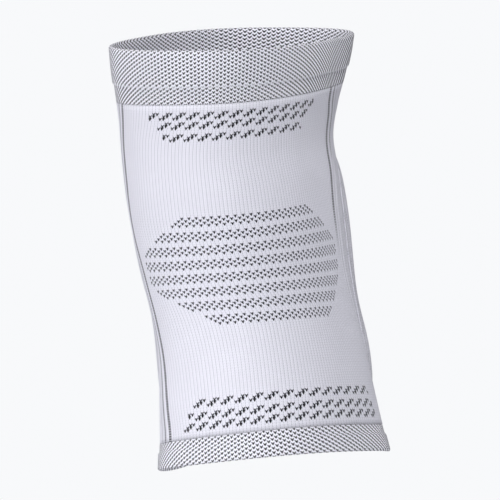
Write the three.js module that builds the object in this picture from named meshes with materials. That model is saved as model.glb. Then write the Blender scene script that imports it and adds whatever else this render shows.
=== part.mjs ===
// A knitted knee sleeve with a foam knee pad in a pocket at the front, in the shape that it has on a slightly bent leg.
// Millimetres. +Z runs up the leg, -Y looks out of the hollow of the knee and +Y out of the kneecap.
// The origin is the middle of the knee joint, inside the sleeve.

import * as THREE from "three";

// The sleeve as a whole
const SLEEVE_LENGTH = 254; // lower hem to upper rim, measured up the leg
const KNEE_LENGTH = 142; // long way across the oval of the knee
const KNEE_BREADTH = 112; // short way across it
const OVAL_TURN = -33.5; // degrees from the -Y axis to the oval's long axis, positive towards +X
const OVAL_SQUARENESS = 2.6; // exponent of the oval, 2 for an ellipse
const KNEE_BEND = 14; // degrees between thigh and shin
const BEND_RADIUS = 55; // how far above and below the joint the bend reaches
const JOINT_LEVEL = 0.455; // share of the length at which the joint line lies
const SHIN_LIFT = 12; // how much higher the lower hem sits over the shin than over the calf

// The knit
const KNIT_WALL = 1.8;
const SEAM_GAP = 0.3; // clearance between two pieces that touch

// The doubled cuffs
const THIGH_CUFF_HEIGHT = 31;
const CALF_CUFF_HEIGHT = 16;
const CUFF_WALL = 3;
const CUFF_STEP = 0.8; // how far a cuff stands proud of the single knit

// The pair of knitted ribs down each side
const RIB_START = 92; // round the girth, from the middle of the knit's back to the first rib
const RIB_PITCH = 9.2;
const RIB_WIDTH = 6.6;
const RIB_HEIGHT = 0.8;
const RIBS_PER_SIDE = 2;

// The foam pad and the knitted pocket over it
const PAD_WIDTH = 182; // round the front of the knee
const PAD_HEIGHT = 172;
const PAD_THICKNESS = 10.5; // foam in the middle
const PAD_EDGE = 0.6; // foam at its thinned rim
const PAD_SEAT = 0.9; // clearance under the pad, wide enough for the flat facets
const PAD_DROP = 10; // middle of the pad below the joint line
const POCKET_WALL = 1.6;
const POCKET_HEM = 4; // flat border of the pocket round the foam
const PAD_SQUARENESS = 5; // exponent of the pad's rounded outline
const CROWN_ROUNDNESS = 3; // how late the pad's thickness falls off towards its edge
const CROWN_FULLNESS = 0.75;

// How finely the surfaces are drawn
const COLUMNS = 56;
const TUBE_ROWS_OUTSIDE = 22;
const TUBE_ROWS_INSIDE = 11;
const CUFF_ROWS = 4;
const ROLL_STEPS = 4;
const PAD_SPOKES = 48;
const PAD_RINGS = [0.15, 0.3, 0.45, 0.58, 0.7, 0.8, 0.89, 0.96, 1];

// Cross sections of the sleeve from the hem to the rim. level is a share of SLEEVE_LENGTH, size a share of
// KNEE_LENGTH and KNEE_BREADTH, and aside, the sideways shift of the middle, a share of KNEE_BREADTH. slant is the
// rise of the section per unit towards +X, and turn the degrees that the knit is turned on the leg towards +X.
const SECTIONS = [
  { level: 0, size: 1.092, aside: 0.049, slant: -0.018, turn: 10.6 },
  { level: 0.075, size: 1.05, aside: 0.046, slant: -0.01, turn: 10.6 },
  { level: 0.15, size: 1.021, aside: 0.042, slant: -0.004, turn: 10.4 },
  { level: 0.26, size: 0.986, aside: 0.036, slant: 0, turn: 8.4 },
  { level: 0.355, size: 0.974, aside: 0.02, slant: 0, turn: 6 },
  { level: 0.455, size: 0.985, aside: 0.003, slant: 0, turn: 1.2 },
  { level: 0.56, size: 1.005, aside: -0.01, slant: 0, turn: -0.8 },
  { level: 0.665, size: 1.012, aside: -0.023, slant: 0, turn: -1.8 },
  { level: 0.75, size: 1.003, aside: -0.033, slant: 0, turn: -2 },
  { level: 0.83, size: 1.038, aside: -0.013, slant: -0.01, turn: -2.8 },
  { level: 0.885, size: 1.079, aside: 0.005, slant: -0.022, turn: -3.2 },
  { level: 0.95, size: 1.124, aside: 0.023, slant: -0.04, turn: -3.6 },
  { level: 1, size: 1.146, aside: 0.035, slant: -0.05, turn: -4 },
];

// Value of one column of SECTIONS at any level, on a smooth curve through its rows.
function sectionValue(column, level) {
  const last = SECTIONS.length - 1;
  const next = SECTIONS.findIndex((row) => row.level >= level);
  const k = next < 0 ? last - 1 : Math.max(0, next - 1);
  const [a, b] = [SECTIONS[k], SECTIONS[k + 1]];
  const slope = (row) => {
    const [low, high] = [SECTIONS[Math.max(0, row - 1)], SECTIONS[Math.min(last, row + 1)]];
    return (high[column] - low[column]) / (high.level - low.level);
  };
  const span = b.level - a.level;
  const t = (level - a.level) / span;
  const [t2, t3] = [t * t, t * t * t];
  return (
    a[column] * (2 * t3 - 3 * t2 + 1) +
    slope(k) * span * (t3 - 2 * t2 + t) +
    b[column] * (3 * t2 - 2 * t3) +
    slope(k + 1) * span * (t3 - t2)
  );
}

// One cut across the sleeve's outer face: a squarish oval, from the middle of the leg's back round by +X.
class LegSection extends THREE.Curve {
  constructor(level) {
    super();
    const size = sectionValue("size", level);
    this.halfLength = (KNEE_LENGTH / 2) * size;
    this.halfBreadth = (KNEE_BREADTH / 2) * size;
  }

  getPoint(t, target = new THREE.Vector3()) {
    const turn = 2 * Math.PI * t;
    const fromLongAxis = turn - THREE.MathUtils.degToRad(OVAL_TURN);
    const along = Math.abs(Math.cos(fromLongAxis) / this.halfLength) ** OVAL_SQUARENESS;
    const across = Math.abs(Math.sin(fromLongAxis) / this.halfBreadth) ** OVAL_SQUARENESS;
    const radius = (along + across) ** (-1 / OVAL_SQUARENESS);
    return target.set(radius * Math.sin(turn), -radius * Math.cos(turn), 0);
  }
}

const sectionCache = new Map();
function sectionAt(level) {
  if (!sectionCache.has(level)) sectionCache.set(level, new LegSection(level));
  return sectionCache.get(level);
}

// A point on the sleeve. around is a share of the girth from the middle of the leg's back, level a share of the
// length, and outward the distance from the outer face of the single knit.
function sleevePoint(around, level, outward) {
  const section = sectionAt(level);
  const share = around - Math.floor(around);
  const flat = section.getPointAt(share);
  const tangent = section.getTangentAt(share);
  flat.x += tangent.y * outward;
  flat.y -= tangent.x * outward;

  const towardsShin = (Math.max(0, flat.y / (KNEE_LENGTH / 2)) * (1 - level)) ** 2;
  const rise = SHIN_LIFT * towardsShin + sectionValue("slant", level) * flat.x;
  const height = (level - JOINT_LEVEL) * SLEEVE_LENGTH + rise;
  const halfBend = Math.tan(THREE.MathUtils.degToRad(KNEE_BEND / 2));
  const reach = Math.hypot(height, BEND_RADIUS);
  const tilt = Math.atan((halfBend * height) / reach);
  return new THREE.Vector3(
    flat.x + KNEE_BREADTH * sectionValue("aside", level),
    flat.y * Math.cos(tilt) - halfBend * (reach - BEND_RADIUS),
    flat.y * Math.sin(tilt) + height,
  );
}

// How far the knit is turned round the leg at a level, as a share of the girth.
function turnAt(level) {
  return sectionValue("turn", level) / 360;
}

// A solid swept once round the leg. Its profile is a closed loop of { level, outward } points, up the outer face
// and down the inner one; outward is a distance, or a function of the place round the knit.
function bandGeometry(profile, columns) {
  const positions = [];
  for (const column of columns) {
    for (const { level, outward } of profile) {
      const distance = typeof outward === "function" ? outward(column) : outward;
      positions.push(...sleevePoint(column + turnAt(level), level, distance).toArray());
    }
  }
  const indices = [];
  const size = profile.length;
  columns.forEach((_, j) => {
    const [here, there] = [j * size, ((j + 1) % columns.length) * size];
    profile.forEach((_, i) => {
      const next = (i + 1) % size;
      indices.push(here + i, there + i, there + next, here + i, there + next, here + next);
    });
  });
  return indexedGeometry(positions, indices);
}

function indexedGeometry(positions, indices) {
  const geometry = new THREE.BufferGeometry();
  geometry.setAttribute("position", new THREE.Float32BufferAttribute(positions, 3));
  geometry.setIndex(indices);
  geometry.computeVertexNormals();
  return geometry;
}

function evenSteps(from, to, count) {
  return Array.from({ length: count + 1 }, (_, k) => THREE.MathUtils.lerp(from, to, k / count));
}

// The middles of the ribs, as shares of the girth from the middle of the knit's back.
function ribMiddles() {
  const girth = sectionAt(JOINT_LEVEL).getLength();
  const middles = [];
  for (let k = 0; k < RIBS_PER_SIDE; k++) {
    const share = (RIB_START + k * RIB_PITCH) / girth;
    middles.push(share, 1 - share);
  }
  return middles;
}

function ribHeight(around) {
  const half = RIB_WIDTH / 2 / sectionAt(JOINT_LEVEL).getLength();
  const nearest = Math.min(...ribMiddles().map((middle) => Math.abs(around - middle)));
  return nearest < half ? RIB_HEIGHT * Math.cos(((nearest / half) * Math.PI) / 2) : 0;
}

// Even columns round the knit, with a column on the crown and each foot of every rib.
function tubeColumns() {
  const half = RIB_WIDTH / 2 / sectionAt(JOINT_LEVEL).getLength();
  const onRibs = ribMiddles().flatMap((middle) => [middle - half, middle, middle + half]);
  const even = evenSteps(0, 1, COLUMNS).slice(0, COLUMNS);
  const clear = even.filter((column) => onRibs.every((rib) => Math.abs(rib - column) > half));
  return [...clear, ...onRibs].sort((a, b) => a - b);
}

function sleeveTube() {
  const low = (CALF_CUFF_HEIGHT + SEAM_GAP) / SLEEVE_LENGTH;
  const high = 1 - (THIGH_CUFF_HEIGHT + SEAM_GAP) / SLEEVE_LENGTH;
  const outside = evenSteps(low, high, TUBE_ROWS_OUTSIDE).map((level) => ({ level, outward: ribHeight }));
  const inside = evenSteps(high, low, TUBE_ROWS_INSIDE).map((level) => ({ level, outward: -KNIT_WALL }));
  return bandGeometry([...outside, ...inside], tubeColumns());
}

// A doubled cuff between two levels. Both its ends are the round fold of the cloth, half a wall in radius.
function cuff(low, high) {
  const radius = CUFF_WALL / 2;
  const middle = CUFF_STEP - radius;
  const roll = radius / SLEEVE_LENGTH;
  const outside = evenSteps(low + roll, high - roll, CUFF_ROWS);
  const fold = (level, from) =>
    evenSteps(from, from + Math.PI, ROLL_STEPS)
      .slice(1, ROLL_STEPS)
      .map((turn) => ({ level: level + roll * Math.sin(turn), outward: middle + radius * Math.cos(turn) }));
  const profile = [
    ...outside.map((level) => ({ level, outward: CUFF_STEP })),
    ...fold(high - roll, 0),
    ...outside.reverse().map((level) => ({ level, outward: CUFF_STEP - CUFF_WALL })),
    ...fold(low + roll, Math.PI),
  ];
  return bandGeometry(profile, evenSteps(0, 1, COLUMNS).slice(0, COLUMNS));
}

// A point over the front of the knee: reach is 0 in the middle of the pad and 1 on the foam's edge.
function padPoint(reach, turn, outward) {
  const [x, z] = [Math.cos(turn), Math.sin(turn)];
  const n = PAD_SQUARENESS;
  const outline = Math.min(reach, 1) * (Math.abs(x) ** n + Math.abs(z) ** n) ** (-1 / n);
  const border = Math.max(0, reach - 1) * PAD_HEIGHT;
  const across = ((PAD_WIDTH / 2) * outline + border) * x;
  const up = ((PAD_HEIGHT / 2) * outline + border) * z;
  const level = JOINT_LEVEL + (up - PAD_DROP) / SLEEVE_LENGTH;
  return sleevePoint(0.5 - across / sectionAt(level).getLength(), level, outward);
}

function crown(reach) {
  return (PAD_THICKNESS - PAD_EDGE) * (1 - Math.min(reach, 1) ** CROWN_ROUNDNESS) ** CROWN_FULLNESS;
}

// A closed solid over the pad's outline, between two surfaces given as distances from the sleeve by reach.
function padGeometry(rings, outer, inner) {
  const positions = [];
  for (const distance of [outer, inner]) {
    positions.push(...padPoint(0, 0, distance(0)).toArray());
    for (const reach of rings) {
      for (let k = 0; k < PAD_SPOKES; k++) {
        const turn = (2 * Math.PI * k) / PAD_SPOKES;
        positions.push(...padPoint(reach, turn, distance(reach)).toArray());
      }
    }
  }
  const indices = [];
  const side = 1 + rings.length * PAD_SPOKES;
  const at = (base, ring, k) => base + 1 + ring * PAD_SPOKES + (k % PAD_SPOKES);
  for (let k = 0; k < PAD_SPOKES; k++) {
    indices.push(0, at(0, 0, k + 1), at(0, 0, k), side, at(side, 0, k), at(side, 0, k + 1));
    for (let ring = 0; ring < rings.length - 1; ring++) {
      const [a, b, c, d] = [at(0, ring, k), at(0, ring + 1, k), at(0, ring + 1, k + 1), at(0, ring, k + 1)];
      indices.push(a, c, b, a, d, c);
      indices.push(a + side, b + side, c + side, a + side, c + side, d + side);
    }
    const [a, b] = [at(0, rings.length - 1, k), at(0, rings.length - 1, k + 1)];
    indices.push(a, b + side, a + side, a, b, b + side);
  }
  return indexedGeometry(positions, indices);
}

function foamPad() {
  return padGeometry(
    PAD_RINGS,
    (reach) => PAD_SEAT + PAD_EDGE + crown(reach),
    () => PAD_SEAT,
  );
}

function padPocket() {
  const overFoam = PAD_SEAT + PAD_EDGE + SEAM_GAP;
  return padGeometry(
    [...PAD_RINGS, 1 + POCKET_HEM / PAD_HEIGHT],
    (reach) => (reach > 1 ? PAD_SEAT : overFoam + crown(reach)) + POCKET_WALL,
    (reach) => (reach > 1 ? PAD_SEAT : overFoam + crown(reach)),
  );
}

function knitMaterial(color) {
  return new THREE.MeshStandardMaterial({ color, roughness: 0.9, metalness: 0 });
}

function piece(name, geometry, material) {
  const mesh = new THREE.Mesh(geometry, material);
  mesh.name = name;
  return mesh;
}

const whiteKnit = knitMaterial(0xe4e3ee);
const greyKnit = knitMaterial(0xb4b3be);
const foam = new THREE.MeshStandardMaterial({ color: 0xd8d6d2, roughness: 0.95, metalness: 0 });

const kneePad = new THREE.Group();
kneePad.add(
  piece("sleeve_tube", sleeveTube(), whiteKnit),
  piece("thigh_cuff", cuff(1 - THIGH_CUFF_HEIGHT / SLEEVE_LENGTH, 1), greyKnit),
  piece("calf_cuff", cuff(0, CALF_CUFF_HEIGHT / SLEEVE_LENGTH), greyKnit),
  piece("foam_pad", foamPad(), foam),
  piece("pad_pocket", padPocket(), whiteKnit),
);

export default kneePad;
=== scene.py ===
# A knitted knee sleeve with a foam knee pad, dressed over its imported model. Metres, +Z up the leg, -Y out of
# the hollow of the knee, +Y out of the kneecap. Each section holds one piece with its sizes, mesh and finish.
import math

import bpy
import numpy as np
from mathutils import Matrix, Vector


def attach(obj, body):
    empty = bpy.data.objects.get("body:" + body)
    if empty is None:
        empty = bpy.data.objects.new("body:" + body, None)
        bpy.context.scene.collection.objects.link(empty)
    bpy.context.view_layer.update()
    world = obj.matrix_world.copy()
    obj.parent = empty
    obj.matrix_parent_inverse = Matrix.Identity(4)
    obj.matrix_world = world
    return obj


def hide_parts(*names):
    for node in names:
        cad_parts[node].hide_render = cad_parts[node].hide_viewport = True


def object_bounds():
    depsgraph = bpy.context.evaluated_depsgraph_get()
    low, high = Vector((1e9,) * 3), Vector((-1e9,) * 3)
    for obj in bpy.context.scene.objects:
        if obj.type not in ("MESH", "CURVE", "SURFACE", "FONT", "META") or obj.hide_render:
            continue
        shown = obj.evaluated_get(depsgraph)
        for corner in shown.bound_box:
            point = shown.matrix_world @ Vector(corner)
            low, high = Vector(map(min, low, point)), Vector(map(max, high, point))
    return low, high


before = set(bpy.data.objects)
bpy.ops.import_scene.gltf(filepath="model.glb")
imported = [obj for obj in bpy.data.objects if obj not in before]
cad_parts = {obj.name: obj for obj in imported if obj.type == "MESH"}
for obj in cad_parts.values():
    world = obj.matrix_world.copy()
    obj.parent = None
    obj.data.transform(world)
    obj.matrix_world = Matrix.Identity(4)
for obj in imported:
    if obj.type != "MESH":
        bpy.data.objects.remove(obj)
cad_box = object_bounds()
MM = 0.001


# The viewpoint, floor and light: a product photo from behind the knee and level with it, on a seamless pale
# ground, with a big soft light from the left and one above the camera. The camera's roll makes it lean.
CAMERA_AZIMUTH = math.radians(-8)
CAMERA_HEIGHT = math.radians(1.5)
CAMERA_ROLL = math.radians(-5.5)
CAMERA_DISTANCE = 2.5
CAMERA_LENS = 300
SENSOR_WIDTH = 36
AIM_RIGHT = 2.6 * MM
AIM_UP = 11.9 * MM
SURROUND_RADIUS = 9
SURROUND_COLOR = (0.938, 0.947, 0.963, 1)
FLOOR_RADIUS = 0.8
FLOOR_DROP = 160 * MM
FLOOR_COLOR = (0.93, 0.935, 0.95, 1)
FILL_COLOR = (0.96, 0.965, 1, 1)
FILL_STRENGTH = 0.16
SOFTBOXES = (
    {"name": "key_softbox", "azimuth": -82, "height": 16, "distance": 2.4, "size": 1.6, "power": 36.8},
    {"name": "front_softbox", "azimuth": 5, "height": 36, "distance": 3, "size": 2, "power": 77},
)


def direction(azimuth, height):
    """From the knee to a place at an angle round the leg from its back, and at an angle above level."""
    level = math.cos(height)
    return Vector((math.sin(azimuth) * level, -math.cos(azimuth) * level, math.sin(height)))


def camera_axes():
    """The camera's right, up and backward directions, turned by its roll."""
    back = direction(CAMERA_AZIMUTH, CAMERA_HEIGHT)
    right = Vector((math.cos(CAMERA_AZIMUTH), math.sin(CAMERA_AZIMUTH), 0))
    up = back.cross(right)
    roll = Matrix.Rotation(CAMERA_ROLL, 3, back)
    return roll @ right, roll @ up, back


def add_camera():
    right, up, back = camera_axes()
    data = bpy.data.cameras.new("camera")
    data.lens = CAMERA_LENS
    data.sensor_width = SENSOR_WIDTH
    camera = bpy.data.objects.new("camera", data)
    bpy.context.collection.objects.link(camera)
    place = right * AIM_RIGHT + up * AIM_UP + back * CAMERA_DISTANCE
    axes = Matrix((right, up, back)).transposed()
    camera.matrix_world = Matrix.Translation(place) @ axes.to_4x4()
    bpy.context.scene.camera = camera


def add_softbox(name, azimuth, height, distance, size, power):
    """A square softbox that looks at the knee."""
    data = bpy.data.lights.new(name, "AREA")
    data.shape = "SQUARE"
    data.size = size
    data.energy = power
    light = bpy.data.objects.new(name, data)
    bpy.context.collection.objects.link(light)
    place = direction(math.radians(azimuth), math.radians(height)) * distance
    light.matrix_world = Matrix.Translation(place) @ place.to_track_quat("Z", "Y").to_matrix().to_4x4()


def glowing_material(name, color):
    material = bpy.data.materials.new(name)
    material.use_nodes = True
    nodes = material.node_tree.nodes
    nodes.clear()
    glow = nodes.new("ShaderNodeEmission")
    glow.inputs["Color"].default_value = color
    out = nodes.new("ShaderNodeOutputMaterial")
    material.node_tree.links.new(glow.outputs["Emission"], out.inputs["Surface"])
    return material


def add_stage():
    """A round floor below the view, and a pale surround that lights nothing."""
    bpy.ops.mesh.primitive_uv_sphere_add(radius=SURROUND_RADIUS, segments=48, ring_count=24)
    surround = bpy.context.object
    surround.name = "surround"
    surround.data.materials.append(glowing_material("seamless_ground", SURROUND_COLOR))
    surround.visible_diffuse = False
    surround.visible_glossy = False
    surround.visible_shadow = False
    floor_material = bpy.data.materials.new("pale_floor")
    floor_material.use_nodes = True
    shader = floor_material.node_tree.nodes["Principled BSDF"]
    shader.inputs["Base Color"].default_value = FLOOR_COLOR
    shader.inputs["Roughness"].default_value = 0.9
    bpy.ops.mesh.primitive_circle_add(vertices=96, radius=FLOOR_RADIUS, fill_type="NGON")
    floor = bpy.context.object
    floor.name = "floor"
    floor.location.z = cad_box[0][2] - FLOOR_DROP
    floor.data.materials.append(floor_material)


def add_fill():
    """The faint light that comes back from the studio's walls."""
    world = bpy.data.worlds.new("studio")
    world.use_nodes = True
    background = world.node_tree.nodes["Background"]
    background.inputs["Color"].default_value = FILL_COLOR
    background.inputs["Strength"].default_value = FILL_STRENGTH
    bpy.context.scene.world = world


add_camera()
add_stage()
for softbox in SOFTBOXES:
    add_softbox(**softbox)
add_fill()
bpy.context.scene.view_settings.view_transform = "Standard"


# The sleeve's form. The real sleeve is one tube, knitted in the round and drawn on the leg: a squarish oval
# at the knee, waisted above it and flared to both cuffs, bent a little at the joint and leaning to one side.
SLEEVE_LENGTH = 254 * MM
KNEE_LENGTH = 142 * MM
KNEE_BREADTH = 112 * MM
OVAL_TURN = math.radians(-33.5)
OVAL_SQUARENESS = 2.6
KNEE_BEND = math.radians(14)
BEND_RADIUS = 55 * MM
JOINT_LEVEL = 0.455
SHIN_LIFT = 12 * MM
SECTION_COLUMNS = ("level", "size", "aside", "slant")
SECTIONS = np.array([
    (0, 1.092, 0.049, -0.018),
    (0.075, 1.05, 0.046, -0.01),
    (0.15, 1.021, 0.042, -0.004),
    (0.26, 0.986, 0.036, 0),
    (0.355, 0.974, 0.02, 0),
    (0.455, 0.985, 0.003, 0),
    (0.56, 1.005, -0.01, 0),
    (0.665, 1.012, -0.023, 0),
    (0.75, 1.003, -0.033, 0),
    (0.83, 1.038, -0.013, -0.01),
    (0.885, 1.079, 0.005, -0.022),
    (0.95, 1.124, 0.023, -0.04),
    (1, 1.146, 0.035, -0.05),
])
OUTLINE_LEVELS = 129
OUTLINE_SHARES = 1441
HOLLOWS = (
    {"share": -0.25, "level": 0.34, "depth": 1.9 * MM, "shares": 0.09, "levels": 0.17},
    {"share": 0.25, "level": 0.58, "depth": 0.9 * MM, "shares": 0.026, "levels": 0.14},
)


def smooth_table(x, places, values):
    """Values of a table on a smooth curve through its rows. Each row holds one value or several."""
    x, places, values = np.asarray(x, float), np.asarray(places, float), np.asarray(values, float)
    wide = (len(places),) + (1,) * (values.ndim - 1)
    steps = places.reshape(wide)
    slopes = np.empty_like(values)
    slopes[1:-1] = (values[2:] - values[:-2]) / (steps[2:] - steps[:-2])
    slopes[0] = (values[1] - values[0]) / (steps[1] - steps[0])
    slopes[-1] = (values[-1] - values[-2]) / (steps[-1] - steps[-2])
    k = np.clip(np.searchsorted(places, x) - 1, 0, len(places) - 2)
    span = places[k + 1] - places[k]
    t = (x - places[k]) / span
    if values.ndim > 1:
        span, t = span[..., None], t[..., None]
    t2, t3 = t * t, t * t * t
    return (
        values[k] * (2 * t3 - 3 * t2 + 1)
        + slopes[k] * span * (t3 - 2 * t2 + t)
        + values[k + 1] * (3 * t2 - 2 * t3)
        + slopes[k + 1] * span * (t3 - t2)
    )


def section_value(column, level):
    return smooth_table(level, SECTIONS[:, 0], SECTIONS[:, SECTION_COLUMNS.index(column)])


def outline_of_size(size):
    """A flat cut across the sleeve: places and outward directions along the girth, and the girth."""
    turn = np.linspace(0, 2 * math.pi, 2 * OUTLINE_SHARES)
    along = np.abs(np.cos(turn - OVAL_TURN) / (KNEE_LENGTH / 2 * size)) ** OVAL_SQUARENESS
    across = np.abs(np.sin(turn - OVAL_TURN) / (KNEE_BREADTH / 2 * size)) ** OVAL_SQUARENESS
    radius = (along + across) ** (-1 / OVAL_SQUARENESS)
    flat = np.stack([radius * np.sin(turn), -radius * np.cos(turn)], 1)
    walked = np.concatenate([[0], np.cumsum(np.linalg.norm(np.diff(flat, axis=0), axis=1))])
    tangent = np.gradient(flat, walked, axis=0)
    shares = np.linspace(0, walked[-1], OUTLINE_SHARES)
    parts = (flat[:, 0], flat[:, 1], tangent[:, 1], -tangent[:, 0])
    return np.stack([np.interp(shares, walked, part) for part in parts], 1), walked[-1]


OUTLINES = np.stack([
    outline_of_size(section_value("size", step / (OUTLINE_LEVELS - 1)))[0] for step in range(OUTLINE_LEVELS)
])
KNEE_GIRTH = outline_of_size(1)[1]


def side_hollow(around, level):
    """The shallow hollows of the leg at both sides of the knee, over the tendon and beside the pad."""
    side = (np.asarray(around) + 0.5) % 1 - 0.5
    return -sum(
        dip["depth"] * np.exp(-(((side - dip["share"]) / dip["shares"]) ** 2))
        * np.exp(-(((level - dip["level"]) / dip["levels"]) ** 2))
        for dip in HOLLOWS
    )


def sleeve_points(around, level, outward):
    """Points on the sleeve. around is a share of the girth from the middle of the leg's back round by +X,
    level a share of the length, and outward the distance from the outer face of the single knit."""
    outward = outward + side_hollow(around, level)
    around, level, outward = np.broadcast_arrays(np.asarray(around, float) % 1, level, outward)
    row = np.clip(level, 0, 1) * (OUTLINE_LEVELS - 1)
    column = around * (OUTLINE_SHARES - 1)
    i = np.minimum(row.astype(int), OUTLINE_LEVELS - 2)
    j = np.minimum(column.astype(int), OUTLINE_SHARES - 2)
    u, v = (row - i)[..., None], (column - j)[..., None]
    lower = OUTLINES[i, j] * (1 - v) + OUTLINES[i, j + 1] * v
    upper = OUTLINES[i + 1, j] * (1 - v) + OUTLINES[i + 1, j + 1] * v
    x, y, out_x, out_y = np.moveaxis(lower * (1 - u) + upper * u, -1, 0)
    x = x + out_x * outward
    y = y + out_y * outward
    towards_shin = (np.maximum(0, y / (KNEE_LENGTH / 2)) * (1 - level)) ** 2
    height = (level - JOINT_LEVEL) * SLEEVE_LENGTH + SHIN_LIFT * towards_shin
    height = height + section_value("slant", level) * x
    half_bend = math.tan(KNEE_BEND / 2)
    reach = np.hypot(height, BEND_RADIUS)
    tilt = np.arctan(half_bend * height / reach)
    return np.stack([
        x + KNEE_BREADTH * section_value("aside", level),
        y * np.cos(tilt) - half_bend * (reach - BEND_RADIUS),
        y * np.sin(tilt) + height,
    ], -1)


# The knit. Fine nylon and elastane yarn, 180 wales round, each wale a soft rib of v-shaped stitches, with
# charcoal ones knitted in for the patterns. Wale 0 is the middle of the back, and courses count up the leg.
WALES = 180
COURSE_LEVELS = (0.0, 0.2, 0.35, 0.5, 0.62, 0.75, 1.0)
COURSE_HEIGHTS = np.array([1.52, 1.54, 1.59, 1.61, 1.57, 1.44, 1.36]) * MM
SHIFT_WALES = (-90, -60, -38, -24, -12, 0, 12, 24, 38, 60, 90)
SHIFT_LEVELS = (0, 0.08, 0.135, 0.26, 0.35, 0.42, 0.49, 0.59, 0.7, 0.795, 0.846, 0.88, 1)
KNIT_SHIFTS = (
    (0, 5.5, 5, 4.2, 2.7, 1.7, 2.3, 5.5, 7, 0, 0),
    (0, 5.5, 5.1, 4.2, 2.8, 1.8, 2.5, 5.8, 7.3, 0, 0),
    (0, 4.6, 4.3, 4, 3.2, 2.7, 3.8, 6.8, 7.3, 0, 0),
    (0, 3.2, 2.9, 3.4, 3.3, 3, 3.4, 4.5, 4, 0, 0),
    (0, 1.9, 1.5, 2.4, 2.7, 2.7, 2.7, 2.6, 0, 0, 0),
    (0, 1, 0.6, 0.5, 0.4, 0.3, 0.3, 0.2, -2.5, 0, 0),
    (0, 0.3, -0.1, -0.4, -0.3, -0.2, -0.5, -0.5, -3.4, 0, 0),
    (0, -0.8, -1.7, -1.3, -1.3, -1.3, -1.3, -1.5, -4, 0, 0),
    (0, 0.3, -0.3, -0.8, -1, -1.3, -1.8, -2, -2.3, 0, 0),
    (0, 1, 0.3, 0, -0.4, -1.7, -2.4, -2.2, -2.3, 0, 0),
    (0, 4, 1.5, 1.3, 0.1, -1.4, -3.4, -3.6, -4.4, -4, 0),
    (0, 6, 2.2, 1.8, 0.4, -1.6, -3.8, -4.3, -5.3, -6, 0),
    (0, 7, 2.5, 2, 0.5, -1.7, -4, -4.5, -5, -7, 0),
)
COURSE_LIFT = {"wale": -28, "level": 0.36, "courses": 1.35, "wales": 18, "levels": 0.13}
WALE_STEPS = (0, 0.14, 0.32, 0.5, 0.68, 0.86)
YARN_WHITE = (0.835, 0.83, 0.915)
# The darker white the yarn is mixed towards: painted shade in the knit's grooves and hollows, and random
# mottle.
WHITE_PAINTED_SHADE_AND_MOTTLE = (0.5, 0.5, 0.57)
YARN_DARK = (0.012, 0.0115, 0.016)
V_SLOPE = 2.1
FOOT_WIDTH = 1.3
ARM_START = 0.25
ARM_CURVE = 0.9
YARN_EDGE = 0.1
LEG_RELIEF = 0.7
YARN_RELIEF = 0.75
FIBRE_RELIEF = 0.25
WALE_GROOVE = (0.62, 1.0)
# How strongly painted shade darkens the grooves between wales, where courses cross in them, and between
# courses.
WALE_GROOVE_PAINTED_SHADE = 0.3
CROSSING_PAINTED_SHADE = 1.1
COURSE_GROOVE = (0.55, 1.0)
COURSE_GROOVE_PAINTED_SHADE = 0.3
YARN_MOTTLE = 0.35
CLOTH_MOTTLE = 0.12
BUMP_STRENGTH = 0.5
BUMP_DEPTH = 0.4 * MM

fine_levels = np.linspace(0, 1, 2001)
fine_heights = smooth_table(fine_levels, COURSE_LEVELS, COURSE_HEIGHTS)
fine_courses = np.concatenate([[0], np.cumsum(SLEEVE_LENGTH / fine_heights[:-1] * np.diff(fine_levels))])


def course_at(level):
    """The number of courses from the hem to a level, as if the body's knit ran the whole way."""
    return np.interp(level, fine_levels, fine_courses)


def wale_place(wale, level):
    """Where a wale lies round the girth. The knit is turned on the leg and bunched at the back."""
    rows = smooth_table(np.asarray(level, float).ravel(), SHIFT_LEVELS, KNIT_SHIFTS)
    shift = np.stack([smooth_table(wale, SHIFT_WALES, row) for row in rows])
    return (wale + shift) / WALES


def course_lift(wales, level):
    """How many courses the knit is drawn up beside the middle of the back, below the joint."""
    lift = COURSE_LIFT
    beside = np.exp(-(((wales - lift["wale"]) / lift["wales"]) ** 2))
    return lift["courses"] * beside * np.exp(-(((level - lift["level"]) / lift["levels"]) ** 2))


def wale_profile(step):
    """Relief of one wale, 0 in the grooves beside it and 1 on its crown."""
    return 1 - np.abs(2 * step - 1) ** 2


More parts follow.
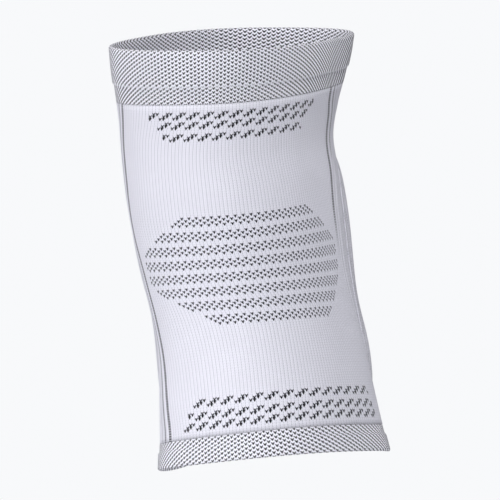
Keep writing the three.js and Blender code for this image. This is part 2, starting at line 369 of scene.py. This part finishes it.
class Value:
    """A socket that can be added, multiplied and compared like a number."""

    tree = None

    def __init__(self, socket):
        self.socket = socket

    @classmethod
    def node(cls, kind, inputs=(), output=0, **settings):
        """Any node: its type, the values or links of its sockets, and its settings, which are set first."""
        made = cls.tree.nodes.new(kind)
        for name, value in settings.items():
            setattr(made, name, value)
        pairs = inputs.items() if isinstance(inputs, dict) else enumerate(inputs)
        for name, value in pairs:
            if isinstance(value, Value):
                cls.tree.links.new(value.socket, made.inputs[name])
            elif value is not None:
                made.inputs[name].default_value = value
        return cls(made.outputs[output])

    @classmethod
    def math(cls, operation, *terms):
        return cls.node("ShaderNodeMath", terms, operation=operation)

    def __add__(self, other):
        return self.math("ADD", self, other)

    __radd__ = __add__

    def __sub__(self, other):
        return self.math("SUBTRACT", self, other)

    def __rsub__(self, other):
        return self.math("SUBTRACT", other, self)

    def __mul__(self, other):
        return self.math("MULTIPLY", self, other)

    __rmul__ = __mul__

    def __pow__(self, other):
        return self.math("POWER", self, other)

    def __mod__(self, other):
        return self.math("FLOORED_MODULO", self, other)

    def __lt__(self, other):
        return self.math("LESS_THAN", self, other)

    def __gt__(self, other):
        return self.math("GREATER_THAN", self, other)

    def __abs__(self):
        return self.math("ABSOLUTE", self)

    def floor(self):
        return self.math("FLOOR", self)

    def at_least(self, other):
        return self.math("MAXIMUM", self, other)

    def at_most(self, other):
        return self.math("MINIMUM", self, other)

    def ramp(self, low, high):
        """0 below low, 1 above high, smooth between."""
        return self.node("ShaderNodeMapRange", {0: self, 1: low, 2: high}, interpolation_type="SMOOTHSTEP")

    def mix(self, low, high):
        """A colour between two colours, by this value."""
        colors = [value if isinstance(value, Value) else (*value, 1) for value in (low, high)]
        return self.node(
            "ShaderNodeMix", {0: self, 6: colors[0], 7: colors[1]}, output=2, data_type="RGBA"
        )

    def link(self, shader, name):
        self.tree.links.new(self.socket, shader.inputs[name])


def open_material(name):
    """A new material with a plain Principled shader, whose tree the next values are made in."""
    material = bpy.data.materials.new(name)
    material.use_nodes = True
    Value.tree = material.node_tree
    return material, material.node_tree.nodes["Principled BSDF"]


def uv_place(uv_map):
    """The two coordinates of a point in one of the piece's maps."""
    place = Value.node("ShaderNodeUVMap", uv_map=uv_map)
    return [Value.node("ShaderNodeSeparateXYZ", [place], output=axis) for axis in (0, 1)]


def noise(scale, detail):
    """Soft noise through the piece, in the frame's metres."""
    place = Value.node("ShaderNodeTexCoord", output=3)
    return Value.node("ShaderNodeTexNoise", {"Vector": place, "Scale": scale, "Detail": detail})


class Stitches:
    """The stitch at a point: its wale and course as whole numbers, and the place on its yarn."""

    def __init__(self, wale, course, slope=V_SLOPE):
        self.column = wale.floor()
        self.across = wale - self.column - 0.5
        self.half = abs(self.across) * 2
        shifted = course - self.half * slope * 0.5
        self.row = shifted.floor()
        self.along = abs(shifted - self.row - 0.5) * 2
        self.between = abs((course % 1) - 0.5) * 2

    def charcoal(self, taper):
        """1 on a charcoal stitch's v: broad at its foot, with arms that thin out under the next yarn."""
        width = FOOT_WIDTH - (self.half - ARM_START).at_least(0) ** ARM_CURVE * taper
        return (width - self.along).ramp(-YARN_EDGE, YARN_EDGE)


def finish_knit(shader, stitch, dark, painted_shade_strength, relief=1.0, white=YARN_WHITE, raised=0.0):
    """Colour, roughness and bump of a knit. Where dark is 1 it takes the charcoal yarn's colour, for the
    charcoal stitches and, on the pocket, for a painted shade along the pad's edge. The fourth argument says
    how strongly painted shade darkens its grooves and the low parts of its yarn, and raised lifts what is sewn
    on."""
    leg = 1 - (stitch.half * 2 - 1) ** 2
    yarn = 1 - stitch.along ** 2
    leg_height = leg.at_least(0) ** 0.5 * LEG_RELIEF + (1 - LEG_RELIEF)
    height = leg_height * (yarn * YARN_RELIEF + (1 - YARN_RELIEF))
    # Painted shade: the grooves between wales and courses and the low parts of each yarn are darkened in
    # colour. The mottle added to it is random tone.
    painted_groove_shade = stitch.half.ramp(*WALE_GROOVE) * (WALE_GROOVE_PAINTED_SHADE + stitch.between * CROSSING_PAINTED_SHADE)
    painted_groove_shade = painted_groove_shade + stitch.between.ramp(*COURSE_GROOVE) * COURSE_GROOVE_PAINTED_SHADE
    shade = (1 - height) * painted_shade_strength + painted_groove_shade * painted_shade_strength
    shade = shade + (noise(scale=1100.0, detail=2.0) - 0.5) * YARN_MOTTLE
    shade = (shade + (noise(scale=45.0, detail=2.0) - 0.5) * CLOTH_MOTTLE).at_least(0).at_most(1)
    dark.mix(shade.mix(white, WHITE_PAINTED_SHADE_AND_MOTTLE), YARN_DARK).link(shader, "Base Color")
    fuzz = height + noise(scale=1600.0, detail=3.0) * FIBRE_RELIEF + raised
    strength = BUMP_STRENGTH * relief
    bump = Value.node("ShaderNodeBump", {"Height": fuzz, "Strength": strength, "Distance": BUMP_DEPTH})
    bump.link(shader, "Normal")
    shader.inputs["Roughness"].default_value = 0.85
    shader.inputs["Sheen Weight"].default_value = 0.08
    shader.inputs["Sheen Roughness"].default_value = 0.5
    shader.inputs["Specular IOR Level"].default_value = 0.25


def grid_piece(name, positions, faces, material, **maps):
    """A smooth mesh object from points, faces and named maps of two coordinates for each face corner."""
    mesh = bpy.data.meshes.new(name)
    mesh.from_pydata([tuple(point) for point in positions], [], [tuple(face) for face in faces])
    for map_name, coordinates in maps.items():
        layer = mesh.uv_layers.new(name=map_name)
        layer.data.foreach_set("uv", np.asarray(coordinates, dtype=np.float32).ravel())
    mesh.polygons.foreach_set("use_smooth", np.ones(len(mesh.polygons), bool))
    mesh.update()
    mesh.materials.append(material)
    piece = bpy.data.objects.new(name, mesh)
    bpy.context.collection.objects.link(piece)
    return piece


def closed_band(name, material, rows, relief, wale_count=WALES, place=wale_place):
    """A closed tube round the leg from rows of (level, outward, share of relief, course), up the outer face
    and down the inner one. relief gives the knit's height over each wale, and place where a wale lies."""
    whole = np.arange(-wale_count // 2, wale_count // 2)
    wales = (whole[:, None] + np.asarray(WALE_STEPS)[None, :]).ravel()
    level, outward, share, course = np.array(rows).T
    raised = outward[:, None] + relief(wales[None, :]) * share[:, None]
    positions = sleeve_points(place(wales, level), level[:, None], raised).reshape(-1, 3)
    count, columns = len(rows), len(wales)
    i, j = np.meshgrid(np.arange(count), np.arange(columns), indexing="ij")
    up, right = (i + 1) % count, (j + 1) % columns
    faces = np.stack([i * columns + j, i * columns + right, up * columns + right, up * columns + j], -1)
    next_wale = np.append(wales[1:], wales[0] + wale_count)
    courses = course[:, None] - course_lift(wales[None, :], level[:, None])
    corners = [
        (wales[j], courses[i, j]),
        (next_wale[j], courses[i, right]),
        (next_wale[j], courses[up, right]),
        (wales[j], courses[up, j]),
    ]
    knit = np.stack([np.stack(corner, -1) for corner in corners], 2)
    return grid_piece(name, positions, faces.reshape(-1, 4), material, knit=knit.reshape(-1, 2))


# The single-knit tube between the cuffs, knitted in one with them. White, with a pair of raised ribs between
# charcoal lines down each side, an octagon of stripes behind the knee and rows of waves above and below it.
KNIT_WALL = 1.8 * MM
THIGH_CUFF_HEIGHT = 31 * MM
CALF_CUFF_HEIGHT = 16 * MM
TUBE_ROWS = 62
TUBE_ROWS_INSIDE = 26
TUBE_WALE_RELIEF = 0.22 * MM
RIB_WALES = (38.75, 41.25)
RIB_HALF = 1.15
RIB_HEIGHT = 0.5 * MM
LINE_EDGE = 0.25
LINE_BREAK = (0.45, 0.8)
LINE_BREAK_PALE = 0.9
LINES = (
    {"wale": 37.5, "half": 0.36, "strength": 1, "fades": (0.45, 0.62)},
    {"wale": 40, "half": 0.3, "strength": 0.85, "fades": (0.65, 0.76)},
    {"wale": 42.5, "half": 0.25, "strength": 0.5, "fades": (0.7, 0.8)},
)
OCTAGON_TOP = 0.6085
OCTAGON_COURSES = 46
OCTAGON_HALF_WIDTH = 34
OCTAGON_CORNERS = (15, 28)
STRIPE_PITCH = 6
STRIPE_COURSES = 4
OCTAGON_TAPER = 2.2
WAVE_TAPER = 1.7
WAVE_WALES = 4
WAVE_COURSES = 3
WAVE_THICK = 2
# How strongly painted shade darkens the tube's grooves.
TUBE_PAINTED_GROOVE_SHADE = 0.7
WAVE_ROWS = (
    {"level": 0.848, "first": -27, "last": 26},
    {"level": 0.8205, "first": -24, "last": 23},
    {"level": 0.793, "first": -22, "last": 20},
    {"level": 0.1375, "first": -28, "last": 28},
    {"level": 0.107, "first": -30, "last": 29},
    {"level": 0.0785, "first": -32, "last": 30},
)


def tube_relief(wales):
    relief = TUBE_WALE_RELIEF * wale_profile(wales - np.floor(wales))
    for middle in RIB_WALES:
        near = np.clip(np.abs(np.abs(wales) - middle) / RIB_HALF, 0, 1)
        relief = np.where(near < 1, relief * near + RIB_HEIGHT * np.cos(near * math.pi / 2), relief)
    return relief


def octagon(stitch):
    """The charcoal stitches of the octagon: every other one, in stripes, with its corners cut."""
    down = math.floor(course_at(OCTAGON_TOP)) - stitch.row
    high, low = OCTAGON_CORNERS
    cut = (high - down).at_least(down - low).at_least(0)
    wide = abs(stitch.column) < OCTAGON_HALF_WIDTH + 0.5 - cut
    tall = (down > -0.5) * (down < OCTAGON_COURSES - 0.5)
    stripe = (down % STRIPE_PITCH) < STRIPE_COURSES - 0.5
    return wide * tall * stripe * (((stitch.column + stitch.row) % 2) < 0.5)


def waves(stitch, level, first, last):
    """One row of waves: each climbs three courses in four wales, two stitches thick."""
    lift = stitch.row - math.floor(course_at(level))
    climb = (stitch.column % WAVE_WALES) - lift
    in_row = (lift > -0.5) * (lift < WAVE_COURSES - 0.5)
    in_row = in_row * (stitch.column > first - 0.5) * (stitch.column < last + 0.5)
    return in_row * (climb > -0.5) * (climb < WAVE_THICK - 0.5)


def tube_material():
    material, shader = open_material("white_knit_tube")
    wale, course = uv_place("knit")
    stitch = Stitches(wale, course)
    in_waves = waves(stitch, **WAVE_ROWS[0])
    for row in WAVE_ROWS[1:]:
        in_waves = in_waves + waves(stitch, **row)
    dark = octagon(stitch) * stitch.charcoal(OCTAGON_TAPER) + in_waves * stitch.charcoal(WAVE_TAPER)
    for line in LINES:
        low, high = (float(course_at(level)) for level in line["fades"])
        shown = (wale < 0).at_least(course.ramp(low, high)) * line["strength"]
        thread = 1 - abs(abs(wale) - line["wale"]).ramp(line["half"], line["half"] + LINE_EDGE)
        dark = dark + thread * (1 - stitch.between.ramp(*LINE_BREAK) * LINE_BREAK_PALE) * shown
    finish_knit(shader, stitch, dark.at_most(1), TUBE_PAINTED_GROOVE_SHADE)
    return material


def add_tube():
    low = CALF_CUFF_HEIGHT / SLEEVE_LENGTH
    high = 1 - THIGH_CUFF_HEIGHT / SLEEVE_LENGTH
    up = np.linspace(low, high, TUBE_ROWS)
    down = np.linspace(high, low, TUBE_ROWS_INSIDE)
    outside = [(level, -TUBE_WALE_RELIEF * 0.5, 1, course_at(level)) for level in up]
    inside = [(level, -KNIT_WALL, 0, course_at(level)) for level in down]
    tube = closed_band("knit_tube", tube_material(), outside + inside, tube_relief)
    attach(tube, "root")
    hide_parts("sleeve_tube")


add_tube()


# The doubled cuffs. Each is a welt knitted at twice its height and turned in on itself, so its rim is a round
# fold. Both are charcoal and white bird's-eye, one stitch of each in turn, in closer wales than the tube's.
CUFF_WALL = 3 * MM
CUFF_STEP = 0.8 * MM
CUFF_WALES = 210
CUFF_SHIFT_WALES = (-105, -60, -38, -24, -12, 0, 12, 24, 38, 60, 105)
CUFF_ROWS_INSIDE = 12
FOLD_STEPS = 6
CUFF_WALE_RELIEF = 0.42 * MM
CUFF_SUNK = 0.6
FOLD_RELIEF = 0.4
INSIDE_RELIEF = -0.5
JOIN_PLAIN = 0.3
JOIN_SLOPE = 1.4 * MM
JOIN_ROUND = 0.3 * MM
CUFF_TAPER = 1.65
CUFF_BOLD = 0.15
CUFF_BOLD_INSIDE = 0.5
JOIN_FADED = 0.5
CUFF_WHITE = (0.88, 0.875, 0.95)
# How strongly painted shade darkens the cuffs' grooves.
CUFF_PAINTED_GROOVE_SHADE = 0.12
CUFFS = {
    "thigh_welt": {
        "node": "thigh_cuff",
        "join": 1 - THIGH_CUFF_HEIGHT / SLEEVE_LENGTH,
        "rim": 1.0,
        "courses": 27,
        "rows": 36,
        "flat": (0.47, 0.031),
        "shifts": (15, 10.8, 4.9, 2, 0.5, -1.7, -3.8, -6.3, -11.8, -21, -15),
    },
    "calf_welt": {
        "node": "calf_cuff",
        "join": CALF_CUFF_HEIGHT / SLEEVE_LENGTH,
        "rim": 0.0,
        "courses": 12,
        "rows": 18,
        "flat": (0.45, 0.016),
        "shifts": (15, 12, 6.6, 4.4, 2.7, 1.7, 2.3, 5.2, 5.5, -2.5, -15),
    },
}


def cuff_profile(join, rim, courses, row_count):
    """The outline of a doubled cuff from its join with the tube over the fold of its rim and back inside, in
    rows of (level, outward, share of relief, course). Courses count from the join."""
    radius = CUFF_WALL / 2
    way = math.copysign(1 / SLEEVE_LENGTH, rim - join)
    height = abs(rim - join) * SLEEVE_LENGTH
    face = radius - CUFF_WALE_RELIEF * CUFF_SUNK
    turns = np.linspace(0, math.pi, FOLD_STEPS + 2)[1:-1]

    def middle(walked):
        proud = min(1, max(0, (walked - JOIN_PLAIN * height) / JOIN_SLOPE))
        return CUFF_STEP * proud * proud * (3 - 2 * proud) - radius

    up = np.linspace(JOIN_ROUND, height - radius, row_count)
    profile = [(walked, middle(walked) + face, 1) for walked in up]
    for turn in turns:
        walked = height - radius + radius * math.sin(turn)
        share = FOLD_RELIEF + (1 - FOLD_RELIEF) * math.cos(turn) ** 2
        profile.append((walked, middle(height) + face * math.cos(turn), share))
    down = np.linspace(height - radius, JOIN_ROUND, CUFF_ROWS_INSIDE)
    profile += [(walked, middle(walked) - radius, INSIDE_RELIEF) for walked in down]
    profile += [(0, middle(0) - radius + JOIN_ROUND, 0), (0, middle(0) + face - JOIN_ROUND, 0)]
    walked = [0.0]
    for a, b in zip(profile, profile[1:]):
        walked.append(walked[-1] + math.hypot(b[0] - a[0], b[1] - a[1]))
    rows = [
        (join + way * place, outward, share, way / abs(way) * distance * courses / height)
        for (place, outward, share), distance in zip(profile, walked)
    ]
    return rows if way > 0 else rows[::-1]


def cuff_material(name, courses):
    """Bird's-eye all over, with a paler row where the cuff starts to stand proud of the tube."""
    material, shader = open_material(name + "_birdseye")
    wale, course = uv_place("knit")
    turned_in = course > courses + 1
    stitch = Stitches(wale, course, (1 - turned_in * 2) * V_SLOPE)
    last_plain = math.floor(courses * JOIN_PLAIN)
    bold = (stitch.row < last_plain - 0.5) * CUFF_BOLD + turned_in * CUFF_BOLD_INSIDE
    shown = 1 - (abs(stitch.row - last_plain) < 0.5) * JOIN_FADED
    dark = (((stitch.column + stitch.row) % 2) < 0.5) * stitch.charcoal(CUFF_TAPER - bold) * shown
    finish_knit(shader, stitch, dark, CUFF_PAINTED_GROOVE_SHADE, white=CUFF_WHITE)
    return material


def cuff_relief(wales):
    return CUFF_WALE_RELIEF * wale_profile(wales - np.floor(wales))


def add_cuff(name, node, join, rim, courses, rows, flat, shifts):
    def place(wales, level):
        """The cuff's wales lie alike at every level, on the tube's own scale."""
        return (wales + smooth_table(wales, CUFF_SHIFT_WALES, shifts))[None, :] / WALES

    profile = cuff_profile(join, rim, courses, rows)
    cuff = closed_band(name, cuff_material(name, courses), profile, cuff_relief, CUFF_WALES, place)
    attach(cuff, "root")
    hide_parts(node)


for cuff_name, cuff_sizes in CUFFS.items():
    add_cuff(cuff_name, **cuff_sizes)


# The pad over the kneecap. A moulded slab of soft foam, thick in the middle and thinned to its rim, so that
# it bends round the knee. It lies loose in its pocket and is held there by the pocket's seam.
PAD_WIDTH = 182 * MM
PAD_HEIGHT = 172 * MM
PAD_THICKNESS = 11.4 * MM
PAD_EDGE = 1.4 * MM
PAD_SEAT = 0.4 * MM
PAD_DROP = 10 * MM
PAD_SQUARENESS = 5
CROWN_ROUNDNESS = 3
CROWN_FULLNESS = 0.75
CREASE_LEVEL = 0.37
CREASE_SHARE = 0.3
CREASE_PINCH = 0.8 * MM
CREASE_REACH = 0.085
PAD_SPOKES = 240
MIDDLE_REACH = 0.03
FOAM_RINGS = 24
FOAM_COLOR = (0.7, 0.68, 0.65)
# How dark painted shade makes the middle of each pore.
PAINTED_PORE_SHADE = 0.82
PORE_EDGE = 0.6


def pad_place(reach, turn):
    """The place round the girth and the level of a point: reach is 0 in the pad's middle, 1 on its edge."""
    x, z = np.cos(turn), np.sin(turn)
    n = PAD_SQUARENESS
    outline = np.minimum(reach, 1) * (np.abs(x) ** n + np.abs(z) ** n) ** (-1 / n)
    border = np.maximum(0, reach - 1) * PAD_HEIGHT
    across = (PAD_WIDTH / 2 * outline + border) * x
    up = (PAD_HEIGHT / 2 * outline + border) * z
    level = JOINT_LEVEL + (up - PAD_DROP) / SLEEVE_LENGTH
    return 0.5 - across / (KNEE_GIRTH * section_value("size", level)), level


def crown(reach, level):
    """The foam's height over its rim. It creases a little below the joint, where the knee bends."""
    crease = np.exp(-(((level - CREASE_LEVEL) / CREASE_REACH) ** 2))
    rise = (PAD_THICKNESS - PAD_EDGE) * (1 - np.minimum(reach, 1) ** CROWN_ROUNDNESS) ** CROWN_FULLNESS
    return rise * (1 - CREASE_SHARE * crease) - CREASE_PINCH * crease


def pad_shell(name, material, reaches, outer, inner):
    """A closed slab over the pad's outline between two faces, each a distance from the sleeve by reach."""
    turns = 2 * math.pi * np.arange(PAD_SPOKES) / PAD_SPOKES
    reach, turn = np.meshgrid(reaches, turns, indexing="ij")
    around, level = pad_place(reach, turn)
    sides = [sleeve_points(around, level, face(reach, level)) for face in (outer, inner)]
    positions = np.concatenate([side.reshape(-1, 3) for side in sides])
    rings, half = len(reaches), len(reaches) * PAD_SPOKES
    i, j = np.meshgrid(np.arange(rings - 1), np.arange(PAD_SPOKES), indexing="ij")
    next_j = (j + 1) % PAD_SPOKES
    here, out = i * PAD_SPOKES, (i + 1) * PAD_SPOKES
    upper = np.stack([here + j, here + next_j, out + next_j, out + j], -1).reshape(-1, 4)[:, ::-1]
    lower = np.stack([here + j, out + j, out + next_j, here + next_j], -1).reshape(-1, 4)[:, ::-1] + half
    last, next_last = out[-1] + j[-1], out[-1] + next_j[-1]
    edge = np.stack([last, next_last, next_last + half, last + half], -1)
    faces = [tuple(face) for part in (upper, lower, edge[:, ::-1]) for face in part]
    centre = np.arange(PAD_SPOKES)
    faces += [tuple(centre), tuple(centre[::-1] + half)]
    knit = np.stack([(around - 0.5) * WALES, course_at(level)], -1).reshape(-1, 2)
    rim = np.stack([turn / (2 * math.pi), reach], -1).reshape(-1, 2)
    corners = np.concatenate([np.asarray(face) for face in faces])
    wrapped = rim[corners % half].copy()
    start = 0
    for face in faces:
        turned = wrapped[start:start + len(face), 0]
        if len(face) == 4 and np.ptp(turned) > 0.5:
            turned[turned < 0.5] += 1
        start += len(face)
    return grid_piece(name, positions, faces, material, knit=knit[corners % half], rim=wrapped)


def foam_material():
    material, shader = open_material("closed_cell_foam")
    place = Value.node("ShaderNodeTexCoord", output=3)
    pores = Value.node("ShaderNodeTexVoronoi", {"Vector": place, "Scale": 1400.0})
    # Each pore is a pit in the bump, and its colour is darkened towards its middle as painted shade in the
    # pit.
    shade = pores.ramp(0.0, PORE_EDGE)
    shade.mix(tuple(PAINTED_PORE_SHADE * part for part in FOAM_COLOR), FOAM_COLOR).link(shader, "Base Color")
    bump = Value.node("ShaderNodeBump", {"Height": shade, "Strength": 0.4, "Distance": 0.2 * MM})
    bump.link(shader, "Normal")
    shader.inputs["Roughness"].default_value = 0.9
    return material


def add_foam():
    reaches = np.linspace(MIDDLE_REACH, 1, FOAM_RINGS)
    foam = pad_shell(
        "foam_slab",
        foam_material(),
        reaches,
        lambda reach, level: PAD_SEAT + PAD_EDGE + crown(reach, level),
        lambda reach, level: PAD_SEAT + 0 * reach,
    )
    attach(foam, "root")
    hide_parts("foam_pad")


add_foam()


# The pocket over the foam. A panel of the same white knit, stretched over the pad and sewn flat to the sleeve
# round its border with a line of short overedge stitches.
POCKET_WALL = 1.2 * MM
POCKET_LINING = 0.2 * MM
POCKET_HEM = 8 * MM
HEM_SEAT = 0.15 * MM
HEM_EDGE = 0.55 * MM
DOME_REACHES = (MIDDLE_REACH, 0.9)
DOME_RINGS = 28
SHOULDER_REACHES = (0.91, 1)
SHOULDER_RINGS = 12
HEM_SHARES = (0.1, 1)
HEM_RINGS = 8
# How strongly painted shade darkens the pocket's grooves.
POCKET_PAINTED_GROOVE_SHADE = 0.5
POCKET_BUMP = 1.2
SEAM_STITCHES = 330
SEAM_START = 1.001
SEAM_THREAD = (0.35, 0.8)
SEAM_HEIGHT = 0.5
# A painted shade along the pad's edge, mixed towards the charcoal yarn's colour: its width in reach and its
# darkness.
DENT_REACH = 0.03
PAINTED_DENT_SHADE = 0.22


def pocket_material():
    material, shader = open_material("white_knit_pocket")
    wale, course = uv_place("knit")
    round_rim, reach = uv_place("rim")
    stitch = Stitches(wale, course)
    thread = abs(((round_rim * SEAM_STITCHES) % 1) - 0.5) * 2
    seam = (reach > SEAM_START) * (1 - thread.ramp(*SEAM_THREAD))
    # Painted shade: a band along the pad's edge is darkened towards the charcoal yarn's colour, standing in
    # for the shade in the dip to the seam.
    painted_dent_shade = (1 - abs(reach - 1.0).ramp(0.0, DENT_REACH)) * PAINTED_DENT_SHADE
    finish_knit(shader, stitch, painted_dent_shade, POCKET_PAINTED_GROOVE_SHADE, relief=POCKET_BUMP, raised=seam * SEAM_HEIGHT)
    return material


def add_pocket():
    over_foam = PAD_SEAT + PAD_EDGE + POCKET_LINING
    hem = POCKET_HEM / PAD_HEIGHT
    reaches = np.concatenate([
        np.linspace(*DOME_REACHES, DOME_RINGS),
        np.linspace(*SHOULDER_REACHES, SHOULDER_RINGS),
        1 + np.linspace(*HEM_SHARES, HEM_RINGS) * hem,
    ])

    def inner(reach, level):
        return np.where(reach > 1, HEM_SEAT, over_foam + crown(reach, level))

    def outer(reach, level):
        out = np.clip((reach - 1) / hem, 0, 1)
        edge = POCKET_WALL + over_foam - HEM_SEAT
        sewn = HEM_SEAT + edge + (HEM_EDGE - edge) * np.sqrt(out * (2 - out))
        return np.where(reach > 1, sewn, over_foam + crown(reach, level) + POCKET_WALL)

    pocket = pad_shell("pocket_panel", pocket_material(), reaches, outer, inner)
    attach(pocket, "root")
    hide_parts("pad_pocket")


add_pocket()
